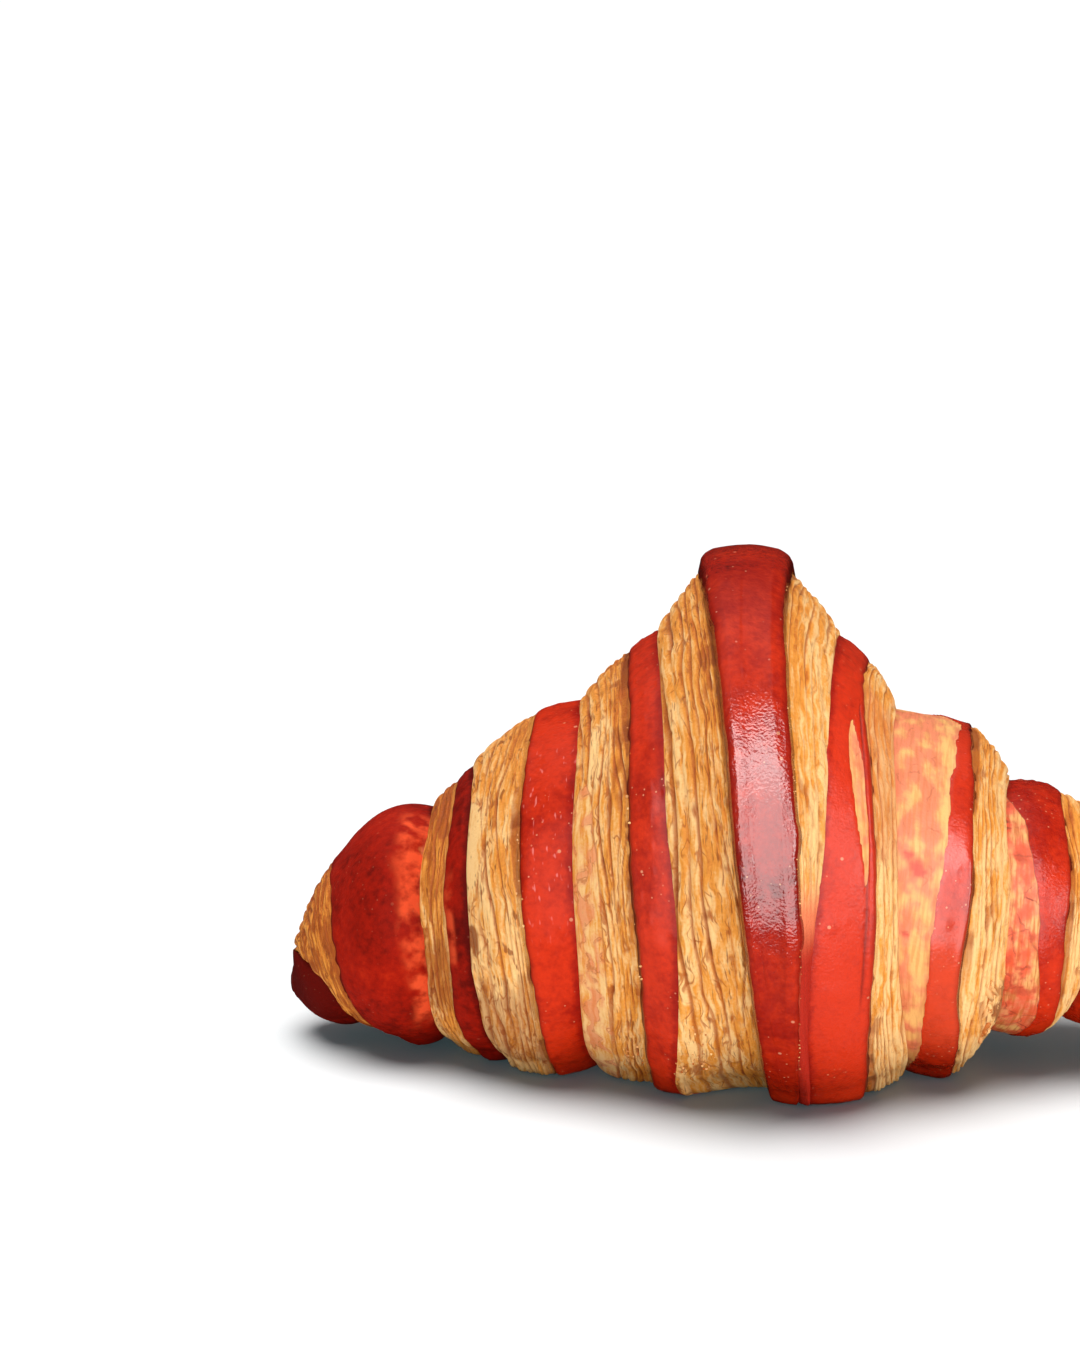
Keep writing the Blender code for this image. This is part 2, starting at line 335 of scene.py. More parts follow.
def layers_of(side, along, from_lip, width):
    """Layer number of each point, its height, and its lightness: 0 in a crease, 1 on a crest. The
    lightness is painted shade in creases, gaps and pits, with some browning of the layers' edges.
    """
    seed = 10 if side == "left" else 20
    warped = from_lip + LAYER_WAVES * uneven(seed, along / 0.022, from_lip / 0.0042)
    warped = warped + LAYER_RIPPLES * uneven(seed + 1, along / 0.0060, from_lip / 0.0020)
    share = np.clip(warped / np.maximum(width, 0.001), 0, 1.2)
    count = LAYER_COUNT * np.clip(width / FULL_WIDTH, 0.05, 1.3) ** 0.6
    spread = np.exp(LAYER_SPREAD) - 1
    layer = count * np.log(1 + share * spread) / LAYER_SPREAD
    number = np.floor(layer)
    part = layer - number
    thick = width / count * (1 + share * spread) / (spread / LAYER_SPREAD)
    thick = np.clip(thick, *LAYER_THICKNESS)

    def strength(edge):
        """How deep the crease at this edge between two layers is, which comes and goes."""
        runs = 0.60 + 1.00 * uneven(seed + 2, along / 0.024, edge * 1.7)
        return np.clip(runs + 0.22 * uneven(seed + 3, along / 0.0050, edge * 2.3), 0.05, 1)

    def gap(edge):
        """Short stretches where two layers have come apart."""
        return ease((uneven(seed + 4, along / 0.0042, edge * 3.1) - 0.52) / 0.2)

    def ledge(edge):
        """How far one layer stands out past the next."""
        return LEDGE_HEIGHT * uneven(seed + 5, along / 0.028, edge * 1.9)

    low = strength(number) * np.exp(-((part / CREASE_SHARE) ** 2))
    high = strength(number + 1) * np.exp(-(((1 - part) / (0.6 * CREASE_SHARE)) ** 2))
    crease = np.maximum(low, high)
    opened = crease * np.where(low > high, gap(number), gap(number + 1))
    blend = ease((part - 0.75) / 0.25)
    height = ledge(number) * (1 - blend) + ledge(number + 1) * blend
    height += (0.00010 + 0.14 * thick) * (1 - (2 * part - 1) ** 2)
    height += 0.10 * thick * uneven(seed + 6, along / 0.0075, layer / 1.2)
    pitted = ease((uneven(seed + 7, along / 0.0026, from_lip / 0.0010) - 0.50) / 0.25)
    pitted *= ease((uneven(seed + 8, along / 0.011, from_lip / 0.004) + 0.1) / 0.3)
    height -= PIT_DEPTH * pitted
    height -= (0.00007 + 0.08 * thick) * crease + GAP_DEPTH * opened
    height += GRAIN_HEIGHT * uneven(seed + 9, along / 0.0016, from_lip / 0.0009)
    # Painted shade: the lightness drops in creases, in gaps between layers and in pits.
    crest = np.clip(1 - 0.80 * crease - 0.6 * opened - 0.45 * pitted, 0, 1)
    return layer, height, crest


def shell_from(points, triangles, numbers, name):
    """A smooth closed mesh that faces out, with a number at each point under each given name."""
    corners = points[triangles]
    volume = np.einsum("ij,ij->i", corners[:, 0], np.cross(corners[:, 1], corners[:, 2])).sum()
    if volume < 0:
        triangles = triangles[:, ::-1]
    mesh = bpy.data.meshes.new(name)
    mesh.vertices.add(len(points))
    mesh.vertices.foreach_set("co", points.astype(np.float32).ravel())
    mesh.loops.add(triangles.size)
    mesh.loops.foreach_set("vertex_index", triangles.astype(np.int32).ravel())
    mesh.polygons.add(len(triangles))
    mesh.polygons.foreach_set("loop_start", np.arange(0, triangles.size, 3, dtype=np.int32))
    mesh.update(calc_edges=True)
    mesh.validate()
    mesh.shade_smooth()
    for label, values in numbers.items():
        attribute = mesh.attributes.new(label, "FLOAT", "POINT")
        attribute.data.foreach_set("value", values.astype(np.float32))
    piece = bpy.data.objects.new(name, mesh)
    bpy.context.scene.collection.objects.link(piece)
    return piece


DOUGH_ROWS = 300
DOUGH_EDGE = 50
DOUGH_BAND = 4
COLUMN_SPREAD = 1.2
UNDER_SHEET = 0.0006
MIDDLE_GAP = 0.0004
FLOOR_LIFT = 0.00025
PEELED_HEIGHT = 0.00030
PEELED_BUMPS = 0.00022
POINT_LUMP = 0.0007
DEEPEST_CREASE = 0.0006


def peeled_share(side, turn, share, along, from_lip):
    """Where the outer layers of the first two left wraps came off, and left smooth pale patches."""
    if side == "right":
        return np.zeros_like(along)
    ragged = 0.03 * uneven(31, along / 0.005, from_lip / 0.002)
    far_border = np.interp(turn, [0.50, 0.60, 0.72, 0.80, 0.850, 0.872],
                           [0.50, 0.58, 0.62, 0.56, 0.44, 0.27])
    near_border = np.interp(turn, [0.80, 0.85, 0.872], [-0.20, 0.10, 0.27])
    inside = np.minimum(far_border - share, share - near_border) + ragged
    first = ease(inside / 0.05) * ease((turn - 0.52) / 0.02)
    far_border = np.interp(turn, [1.775, 1.80, 1.84, 1.89, 1.925], [-0.1, 0.34, 0.50, 0.40, -0.1])
    return first + ease((far_border - share + ragged) / 0.05) * (turn > 1.7) * (turn < 2.0)


# Places on the dough painted darker: side, wrap, turns, shares from foot to lip, and how dark.
# They are partly baked browning and partly painted shade, low on the front of the wraps and on the
# first right wrap.
BROWNED_AND_SHADED = [
    ("left", 3, (-0.36, -0.22), (-1.0, 2.0), 0.60),
    ("left", 2, (-0.285, -0.205), (-1.0, 0.32), 1.0),
    ("right", 2, (-0.40, -0.30), (-1.0, 0.50), 0.80),
    ("right", 1, (-0.22, -0.03), (-1.0, 2.0), 0.42),
    ("left", 0, (-0.42, -0.34), (-1.0, 2.0), 0.35),
    ("left", 1, (-0.42, -0.31), (-1.0, 2.0), 0.30),
    ("left", 2, (-0.42, -0.27), (-1.0, 2.0), 0.58),
]


def browned_and_shaded_share(side, turn, share, along, from_lip):
    """How dark each point is painted, baked browning and painted shade, with a ragged border to
    each place.
    """
    dark = np.zeros_like(along)
    ragged = 0.25 * uneven(33, along / 0.003, from_lip / 0.0012)
    for where, wrap, turns, shares, amount in BROWNED_AND_SHADED:
        if where == side:
            spot = patch(turn + 0.06 * ragged - wrap, share + ragged, turns, shares, (0.03, 0.20))
            dark = np.maximum(dark, amount * spot)
    return dark


def creamy_share(side, turn, share):
    """Smooth light stretches of the first two left wraps, beside their peeled places."""
    if side == "right":
        return np.zeros_like(share + turn)
    first = patch(turn, share, (0.835, 0.925), (0.28, 0.85), (0.02, 0.15))
    return first + patch(turn, share, (1.795, 1.865), (-1.0, 0.36), (0.02, 0.10))


def reddened_share(side, turn, share):
    """The sliver of dough low beside the last wrap, which took on the red of the sheets."""
    if side == "left":
        return np.zeros_like(share + turn)
    return ease((-0.212 - turn) / 0.075) + 0.15 * patch(turn, share, (0.78, 0.97), (-1.0, 2.0))


def dough_half(side):
    """One side's dough: the cut edges with their layers, closed by a wall at the middle."""
    sign = SIDES[side]
    last = round((TIP_TURN - POINT_TURN) * DOUGH_ROWS)
    rows = np.arange(last + 1)
    turn = (TIP_TURN - rows / DOUGH_ROWS)[:, None]
    foot, foot_radius = foot_end(side, turn)
    lip, lip_radius = lip_end(side, turn)
    end, end_radius = band_end(side, turn)
    near = closeness(lip, foot)
    swell = np.interp(turn, [POINT_TURN, *WRAPS], [POINT_SWELL, *EDGE_SWELL])
    layers_radius = lip_radius - np.interp(turn, WRAPS, LIP_STEP) * near

    step = np.linspace(1, 0, DOUGH_EDGE + 1)
    share = 1 - (np.exp(COLUMN_SPREAD * step) - 1) / (np.exp(COLUMN_SPREAD) - 1)
    share = share[None, :]
    over, up = edge_curve(swell, share)
    x = foot + LIP_START * (lip - foot) * over
    radius = foot_radius + (layers_radius - foot_radius) * up

    run_x = np.gradient(x, axis=1)
    run_radius = np.gradient(radius, axis=1)
    run = np.hypot(run_x, run_radius)
    from_foot = np.cumsum(run, axis=1) - run
    width = from_foot[:, -1:]
    from_lip = width - from_foot
    along = run_along(side, turn) + 0 * x
    layer, height, crest = layers_of(side, along, from_lip, width)
    peeled = peeled_share(side, turn, share, along, from_lip)
    smooth = PEELED_HEIGHT + PEELED_BUMPS * uneven(32, along / 0.009, from_lip / 0.004)
    height = height * (1 - peeled) + smooth * peeled
    crest = crest * (1 - peeled) + peeled - 1.8 * peeled * (1 - peeled)
    lump = ease((-0.30 - turn) / 0.08)
    height = np.maximum(height, DEEPEST_CREASE * (lump - 1)) * (1 - 0.4 * lump)
    height += POINT_LUMP * lump * np.sin(np.pi * share)
    fade = ease(share / 0.08) * np.clip(near * 1.5, 0, 1) * ease((TIP_TURN - 0.6 - turn) / 0.5)
    fade *= ease((turn - POINT_TURN) / 0.1)
    height = height * fade
    x = x + sign * height * run_radius / np.maximum(run, 1e-9)
    radius = radius + height * np.abs(run_x) / np.maximum(run, 1e-9)

    band_share = np.arange(1, DOUGH_BAND + 1)[None, :] / DOUGH_BAND
    stop = np.where(turn > POINT_TURN + 1, end, end + sign * MIDDLE_GAP)
    start_x = x[:, -1:]
    start_radius = radius[:, -1:]
    band_x = start_x + (stop - start_x) * band_share
    band_radius = start_radius + (end_radius - UNDER_SHEET - start_radius) * band_share
    band_radius = np.maximum(band_radius, 0.3 * start_radius)
    x = beside(x, band_x)
    radius = beside(radius, band_radius)
    points = on_the_roll(x, radius, turn + 0 * x)
    points[..., 2] = np.maximum(points[..., 2], FLOOR_LIFT)

    columns = x.shape[1]
    index = 1 + np.arange((last + 1) * columns).reshape(last + 1, columns)
    index[: DOUGH_ROWS + 1, 0] = 0
    index[0, :] = 0
    for row in range(DOUGH_ROWS + 1, last + 1):
        index[row, 0] = index[row - DOUGH_ROWS, -1]
    index[last, :] = index[last - DOUGH_ROWS, -1]
    a = index[:-1, :-1].ravel()
    b = index[:-1, 1:].ravel()
    c = index[1:, 1:].ravel()
    d = index[1:, :-1].ravel()
    ring = index[last - DOUGH_ROWS : last + 1, -1]
    middle = 1 + (last + 1) * columns
    cap = np.stack([ring[1:], ring[:-1], np.full(DOUGH_ROWS, middle)], axis=1)
    triangles = np.concatenate([np.stack([a, b, c], axis=1), np.stack([a, c, d], axis=1), cap])
    whole = (triangles[:, 0] != triangles[:, 1]) & (triangles[:, 1] != triangles[:, 2])
    triangles = triangles[whole & (triangles[:, 0] != triangles[:, 2])]

    tip_axis = axis_at(np.array([sign * TIP_REACH[side]]))
    tip = np.array([[sign * TIP_REACH[side], tip_axis[0][0], tip_axis[1][0]]])
    centre = np.array([[sign * MIDDLE_GAP, 0.0, MIDDLE_HEIGHT]])
    points = np.concatenate([tip, points.reshape(-1, 3), centre])

    def over_all(values, at_band, at_ends=0.0):
        bands = np.full((last + 1, DOUGH_BAND), at_band)
        flat = beside(values, bands).ravel()
        return np.concatenate([[at_ends], flat, [at_ends]])

    numbers = {
        "crest": over_all(crest, 0.35, 0.5),
        "along": over_all(along, 0.0),
        "from_lip": over_all(from_lip, 0.0),
        "layer": over_all(layer, 0.0),
        "share": over_all(share + 0 * along, 1.0),
        "wrap": over_all(turn + 0 * along, 0.0, TIP_TURN),
        "peeled": over_all(peeled, 0.0),
        "browned_and_shaded": over_all(browned_and_shaded_share(side, turn, share, along, from_lip), 0.0),
        "reddened": over_all(reddened_share(side, turn, share), 0.0),
        "creamy": over_all(creamy_share(side, turn, share), 0.0),
        "side": np.full(len(points), float(sign)),
    }
    used, compact = np.unique(triangles, return_inverse=True)
    numbers = {label: values[used] for label, values in numbers.items()}
    return points[used], compact.reshape(triangles.shape), numbers


halves = {side: dough_half(side) for side in SIDES}
reach = [halves["left"][0][:, 0].min(), halves["right"][0][:, 0].max()]
setbacks = [points[:, 1] for points, triangles, numbers in halves.values()]
depth = [min(y.min() for y in setbacks), max(y.max() for y in setbacks)]
BOX_SHIFT = -0.5 * np.array([sum(reach), sum(depth), 0.0])


class Amount:
    """A number that varies over a surface: a socket with arithmetic, which adds Math nodes."""

    def __init__(self, nodes, socket):
        self.nodes = nodes
        self.socket = socket

    def math(self, operation, *values):
        return self.nodes.node("ShaderNodeMath", {"operation": operation}, dict(enumerate(values)))

    def __add__(self, other):
        return self.math("ADD", self, other)

    def __sub__(self, other):
        return self.math("SUBTRACT", self, other)

    def __mul__(self, other):
        return self.math("MULTIPLY", self, other)

    def __radd__(self, other):
        return self.math("ADD", other, self)

    def __rsub__(self, other):
        return self.math("SUBTRACT", other, self)

    def __rmul__(self, other):
        return self.math("MULTIPLY", other, self)

    def size(self):
        return self.math("ABSOLUTE", self)

    def rising(self, low, high):
        """0 below the low value, 1 above the high one, and a smooth step between them."""
        settings = {"interpolation_type": "SMOOTHSTEP"}
        inputs = {"Value": self, "From Min": low, "From Max": high}
        return self.nodes.node("ShaderNodeMapRange", settings, inputs)

    def between(self, low, high, falling, gone):
        """Rising from the first value to the second, and falling from the third to the last."""
        return self.rising(low, high) * (1 - self.rising(falling, gone))


class Nodes:
    """A node tree, to which each call adds a node."""

    def __init__(self, tree):
        self.tree = tree

    def node(self, kind, settings=None, inputs=None, output=0):
        made = self.tree.nodes.new(kind)
        for name, value in (settings or {}).items():
            setattr(made, name, value)
        for name, value in (inputs or {}).items():
            self.feed(made.inputs[name], value)
        return Amount(self, made.outputs[output])

    def feed(self, socket, value):
        if isinstance(value, Amount):
            self.tree.links.new(value.socket, socket)
        elif isinstance(value, tuple) and socket.type == "RGBA":
            socket.default_value = (*value, 1.0)
        else:
            socket.default_value = value


class Finish(Nodes):
    """A material that is mixed node by node around one Principled surface."""

    def __init__(self, name, **constants):
        self.material = bpy.data.materials.new(name)
        self.material.use_nodes = True
        super().__init__(self.material.node_tree)
        self.surface = self.tree.nodes["Principled BSDF"]
        for socket, value in constants.items():
            self.surface.inputs[socket.replace("_", " ")].default_value = value

    def number(self, label):
        """The number that the mesh holds at each point under this name."""
        return self.node("ShaderNodeAttribute", {"attribute_name": label}, output="Fac")

    def place(self):
        """The point's own place in the croissant, in metres."""
        return self.node("ShaderNodeTexCoord", output="Object")

    def grain(self, size, detail=2.0):
        """Random mottling of this size in metres, between about 0.3 and 0.7."""
        inputs = {"Vector": self.place(), "Scale": 1 / size, "Detail": detail}
        return self.node("ShaderNodeTexNoise", None, inputs)

    def streaks(self, length, across, width, detail=2.0, start=0.0, bend=0.0):
        """The same, drawn out along the strip: this long, and this wide in the number across."""
        parts = {"X": self.number("along") * (1 / length), "Y": self.number(across) * (1 / width)}
        if bend:
            parts["Y"] = parts["Y"] + self.grain(0.0040, 1.0) * (bend / width)
        parts["Z"] = self.number("side") * 7.0 + start
        inputs = {"Vector": self.node("ShaderNodeCombineXYZ", None, parts), "Scale": 1.0}
        return self.node("ShaderNodeTexNoise", None, {**inputs, "Detail": detail})

    def spots(self, spacing, radius):
        """Round spots, scattered about this far apart: 1 inside them and 0 between them."""
        inputs = {"Vector": self.place(), "Scale": 1 / spacing, "Randomness": 1.0}
        distance = self.node("ShaderNodeTexVoronoi", None, inputs)
        return 1 - distance.rising(0.6 * radius / spacing, radius / spacing)

    def cracks(self, spacing):
        """Fine lines round cells of this size."""
        where = self.place()
        inputs = {"Vector": where, "Scale": 3 / spacing}
        bent = self.node("ShaderNodeTexNoise", None, inputs, output=1)
        settings = {"data_type": "VECTOR", "factor_mode": "UNIFORM"}
        where = self.node("ShaderNodeMix", settings, {0: 0.0012, 4: where, 5: bent}, output=1)
        settings = {"feature": "DISTANCE_TO_EDGE"}
        inputs = {"Vector": where, "Scale": 1 / spacing, "Randomness": 1.0}
        return 1 - self.node("ShaderNodeTexVoronoi", settings, inputs).rising(0.015, 0.05)

    def facing_up(self):
        """How far the surface faces up: 1 where it is level, and 0 where it is upright."""
        normal = self.node("ShaderNodeNewGeometry", output="Normal")
        return self.node("ShaderNodeSeparateXYZ", None, {"Vector": normal}, output="Z")

    def mix(self, share, first, second):
        settings = {"data_type": "RGBA"}
        return self.node("ShaderNodeMix", settings, {0: share, 6: first, 7: second}, output=2)

    def coated(self, colour, *coats):
        """The colour with each pair of share and colour laid over it in turn."""
        for share, over in coats:
            colour = self.mix(share, colour, over)
        return colour

    def bump(self, height, distance, normal=None):
        inputs = {"Height": height, "Distance": distance}
        if normal is not None:
            inputs["Normal"] = normal
        return self.node("ShaderNodeBump", None, inputs)

    def show(self, **sockets):
        for socket, value in sockets.items():
            self.feed(self.surface.inputs[socket.replace("_", " ")], value)


def shade(red, green, blue):
    """A linear colour from the numbers of a colour chart, 0 to 255."""
    parts = [channel / 255 for channel in (red, green, blue)]
    return tuple(p / 12.92 if p < 0.04045 else ((p + 0.055) / 1.055) ** 2.4 for p in parts)


CREAM_CREST = shade(252, 203, 134)
GOLDEN_LAYER = shade(236, 152, 56)
TOASTED_LAYER = shade(198, 100, 24)
LINE_BROWN_AND_SHADE = shade(176, 84, 22)
CREASE_BROWN_AND_SHADE = shade(142, 62, 14)
PINK_BLUSH = shade(234, 134, 90)
TIP_STAIN = shade(112, 16, 6)
STAINED_PINK = shade(240, 128, 84)
STAINED_RED = shade(186, 36, 14)

dough = Finish("layered dough", Specular_IOR_Level=0.16)
wrap = dough.number("wrap")
peeled = dough.number("peeled")
left_side = 1 - dough.number("side").rising(-0.5, 0.5)
toasted = wrap.rising(2.4, 3.1) * left_side
first_peeled = peeled * (1 - wrap.rising(1.2, 1.3))

clouds = dough.streaks(0.0100, "from_lip", 0.0028, 3.0, start=5.0)
fibres = dough.streaks(0.0050, "from_lip", 0.00045, 3.0, start=1.0, bend=0.0014)
strands = dough.streaks(0.0120, "from_lip", 0.00105, start=7.0, bend=0.0024)
wavy = dough.streaks(0.0090, "layer", 1.00, start=3.0, bend=1.6)
broken = dough.streaks(0.0050, "from_lip", 0.0018, start=11.0)
blots = dough.streaks(0.0060, "from_lip", 0.0030, 5.0, start=23.0, bend=0.006)
specks = dough.grain(0.00045, 3.0)
threads = dough.streaks(0.0042, "from_lip", 0.00036, start=17.0, bend=0.0005).rising(0.57, 0.67)
threads = threads * dough.streaks(0.0110, "from_lip", 0.0040, 1.0, start=19.0).rising(0.40, 0.56)
hole_browning_and_shade = dough.streaks(0.0040, "from_lip", 0.0013, start=13.0).rising(0.62, 0.68)
hairline = (1 - (wavy - 0.50).size().rising(0.004, 0.030)) * broken.rising(0.42, 0.58)
outline = (1 - (blots - 0.55).size().rising(0.004, 0.024)) * broken.rising(0.40, 0.56)

warmth_and_shade = clouds.rising(0.36, 0.68) * 0.30 + (fibres - 0.5) * 1.1 + (specks - 0.5) * 0.5 - 0.14
warmth_and_shade = warmth_and_shade + strands.rising(0.40, 0.62) * 0.34 + dough.number("share").rising(0.45, 1.0) * 0.14
# On the left half the dough is painted warmer, with stronger lines and darker creases: painted
# shade of the left half.
warmth_and_shade = warmth_and_shade + left_side * 0.16 - peeled * 0.06 + toasted * 0.50
warmth_and_shade = warmth_and_shade - wrap.between(1.3, 1.5, 2.3, 2.4) * left_side * 0.12
# Where the dough faces up it is painted browner: painted shade of the weak light from above.
warmth_and_shade = warmth_and_shade + dough.facing_up().rising(0.26, 0.86) * 0.34 - dough.number("creamy") * 0.45

line_strength = (1 - peeled) * (0.34 + left_side * 0.36)
lines = hairline * line_strength
browned = toasted * (strands * 0.6 + fibres * 0.6).rising(0.50, 0.72)
# Darker in the creases, and more so on the left: painted shade in creases, gaps and pits, with some
# browning of the layers' edges.
dark = (1 - dough.number("crest")) * (0.75 + left_side * 0.25)
browned_and_shaded = dough.number("browned_and_shaded")
browned_and_shaded = (browned_and_shaded + (fibres - 0.5) * 0.5 * browned_and_shaded).rising(0.20, 0.90)
reddened = dough.number("reddened")
colour = dough.coated(
    CREAM_CREST,
    (warmth_and_shade.rising(0.02, 0.62), GOLDEN_LAYER),
    (warmth_and_shade.rising(0.55, 1.20), TOASTED_LAYER),
    (lines, LINE_BROWN_AND_SHADE),
    (threads * line_strength, CREASE_BROWN_AND_SHADE),
    (browned * 0.60, CREASE_BROWN_AND_SHADE),
    (hole_browning_and_shade * wrap.rising(1.5, 1.7) * left_side * 0.75, CREASE_BROWN_AND_SHADE),
    (dark.rising(0.02, 0.50) * 0.70, LINE_BROWN_AND_SHADE),
    (dark.rising(0.45, 0.95) * 0.80, CREASE_BROWN_AND_SHADE),
    (first_peeled * blots.rising(0.44, 0.60) * 0.70, PINK_BLUSH),
    (first_peeled * outline * 0.50, LINE_BROWN_AND_SHADE),
    (browned_and_shaded * 0.85, CREASE_BROWN_AND_SHADE),
    (reddened.rising(0.0, 0.5), STAINED_PINK),
    (reddened.rising(0.45, 1.0), STAINED_RED),
    (wrap.rising(4.3, 4.55), TIP_STAIN),
)
relief = dough.bump(lines * -1.0, 0.00008, dough.bump(specks, 0.00022))
dough.show(Base_Color=colour, Roughness=0.56 + specks * 0.16, Normal=relief)

for side, (points, triangles, numbers) in halves.items():
    piece = shell_from(points + BOX_SHIFT, triangles, numbers, "dough_" + side)
    piece.data.materials.append(dough.material)
    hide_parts("croissant")
    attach(piece, "root")


# The red sheet
# A thin sheet of dough coloured red, laid over the plain dough before it is rolled. It covers
# each wrap's band up to the lip, where its cut rim is painted darker, as painted shade with some
# browning, and it bakes to a soft gloss.
SHEET_THICKNESS = [0.0023, 0.0023, 0.0010, 0.0009, 0.0008, 0.0007, 0.0005]
RIM_ROUNDING = [0.0007, 0.0007, 0.0005, 0.0005, 0.0004, 0.0004, 0.0002]
RIM_OVERHANG = 0.00035
TUCK = 0.0010
SHEET_LIFT = 0.0001
STRAP_CROWN = 0.0002
STRAP_SHOULDER = 0.0006
SHEET_TURNS = [POINT_TURN, *WRAPS]
RIM_STEPS = 7
WALL_STEPS = 3
NARROW_BAND = 0.004
SHEET_ROWS = 240
SHEET_COLUMNS = 22
STRAP_ROWS = 520
STRAP_COLUMNS = 32
TORN_DEPTH = 0.00030


def rim_profile(thickness, rounding):
    """Out and up from the lip of a rim's points, from under the sheet to where its top is level."""
    inside_out = -0.8 * thickness
    inside_up = -thickness
    wall = np.linspace(0, 1, WALL_STEPS)[None, :]
    wall_up = -thickness + (thickness - rounding) * wall
    wall_out = RIM_OVERHANG * (1 - wall) + 0 * wall_up
    angle = np.linspace(0, 0.5 * np.pi, RIM_STEPS)[None, 1:]
    arc_out = rounding * (np.cos(angle) - 1)
    arc_up = rounding * (np.sin(angle) - 1)
    out = beside(inside_out, wall_out, arc_out)
    up = beside(inside_up, wall_up, arc_up)
    return out, up


def sheet_rows(side, turn, top_columns, to_middle=False):
    """One side's cross-sections, from under the lip over the band to the band's end."""
    turn = turn[:, None]
    lip, lip_radius = lip_end(side, turn)
    end, end_radius = band_end(side, turn)
    toward = np.sign(lip - end) + (lip == end)
    span = np.abs(end - lip)
    thin = np.clip(span / NARROW_BAND, 0.05, 1)
    thickness = np.interp(turn, SHEET_TURNS, SHEET_THICKNESS) * thin
    rounding = np.interp(turn, SHEET_TURNS, RIM_ROUNDING) * thin
    along = run_along(side, turn)
    nicks = 0.00016 * uneven(41, along / 0.0021, 0 * along + SIDES[side] * 3.3)
    nicks += 0.00024 * uneven(42, along / 0.008, 0 * along + SIDES[side] * 5.7)
    out, up = rim_profile(thickness, rounding)
    inner = np.linspace(0, 1, top_columns + 1)[None, 1:] ** 1.1
    top_out = -(rounding + (span - rounding) * inner)
    out = beside(out, top_out)
    up = beside(up, 0 * top_out)
    share = np.clip(-out / np.maximum(span, 1e-6), 0, 1)
    crown = np.interp(turn, WRAPS, BAND_CROWN) * np.sin(np.pi * share)
    climb = share
    if to_middle:
        lips = [lip_end(other, turn)[1] for other in SIDES]
        end_radius = np.maximum(end_radius, np.maximum(*lips))
        climb = 1 - (1 - share) ** 2
        crown = STRAP_CROWN * climb
    x = lip + toward * (out + nicks * thin * np.clip(1 + out / 0.002, 0, 1))
    radius = lip_radius + (end_radius - lip_radius) * climb + crown
    return x, radius, up, share, along + 0 * x, np.maximum(-out, 0), np.maximum(span + out, 0)


def blisters(seed, along, across):
    """Low round swellings where steam lifted the sheet."""
    bumps = uneven(seed, along / 0.0035, across / 0.0030) - 0.45
    fine = uneven(seed + 1, along / 0.0013, across / 0.0010) - 0.62
    return 0.00045 * np.clip(bumps, 0, 1) + 0.0005 * np.clip(fine, 0, 1)


STRAND_WIDTH = 0.16


def sliver_share(side, turn, share):
    """The slit in the first right wrap's sheet, which parts a thin strand from it."""
    if side == "left":
        return np.zeros_like(share)
    middle = np.interp(turn, [0.76, 0.80, 0.82, 0.868, 0.885, 0.905],
                       [0.185, 0.21, 0.255, 0.35, 0.39, 0.42])
    half = np.interp(turn, [0.66, 0.775, 0.80, 0.82, 0.868, 0.885, 0.905],
                     [-0.03, 0.010, 0.060, 0.115, 0.160, 0.10, -0.03])
    return ease((half - np.abs(share - middle)) / 0.04 + 0.5)


def strand_share(side, turn, share):
    """The rounded strand of red dough between the slit and the lip."""
    if side == "left":
        return np.zeros_like(share)
    length = stretch(turn, 0.68, 0.93, 0.05, 0.03)
    return length * np.clip(1 - ((share - 0.5 * STRAND_WIDTH) / (0.5 * STRAND_WIDTH)) ** 2, 0, 1)


def strand_line(side, turn, share):
    """The dark line along the strand's inner side, which runs on below the slit."""
    if side == "left":
        return np.zeros_like(share)
    length = stretch(turn, 0.68, 0.93, 0.03, 0.02)
    return length * np.exp(-(((share - 1.05 * STRAND_WIDTH) / 0.02) ** 2))


def bared_share(side, turn, share, along, from_lip):
    """Where the red is torn, so that the pale dough shows: 1 for all pale."""
    if side == "left":
        ragged = 0.10 * uneven(55, along / 0.0035, from_lip / 0.003)
        ragged += 0.04 * uneven(56, along / 0.0012, from_lip / 0.001)
        length = stretch(turn, 3.68, 3.93, 0.05, 0.05)
        return ease((share + ragged - 0.93) / 0.16) * length
    ragged = 0.030 * uneven(51, along / 0.006, from_lip / 0.003)
    ragged += 0.018 * uneven(52, along / 0.0016, from_lip / 0.0012)
    second = np.interp(turn, [1.55, 1.63, 1.68, 1.75, 1.81, 1.88, 1.95, 2.0, 2.12],
                       [0.98, 0.71, 0.60, 0.50, 0.42, 0.29, 0.20, 0.14, 1.10])
    third = np.interp(turn, [2.55, 2.66, 2.74, 2.84, 2.90, 2.96],
                      [0.40, 0.34, 0.48, 0.58, 0.67, 1.10])
    bared = ease((share + ragged - second) / 0.03 + 0.5) * (turn > 1.52) * (turn < 2.15)
    bared += ease((share + ragged - third) / 0.16 + 0.5) * (turn > 2.5) * (turn < 3.0)
    return np.clip(bared + sliver_share(side, turn, share), 0, 1)


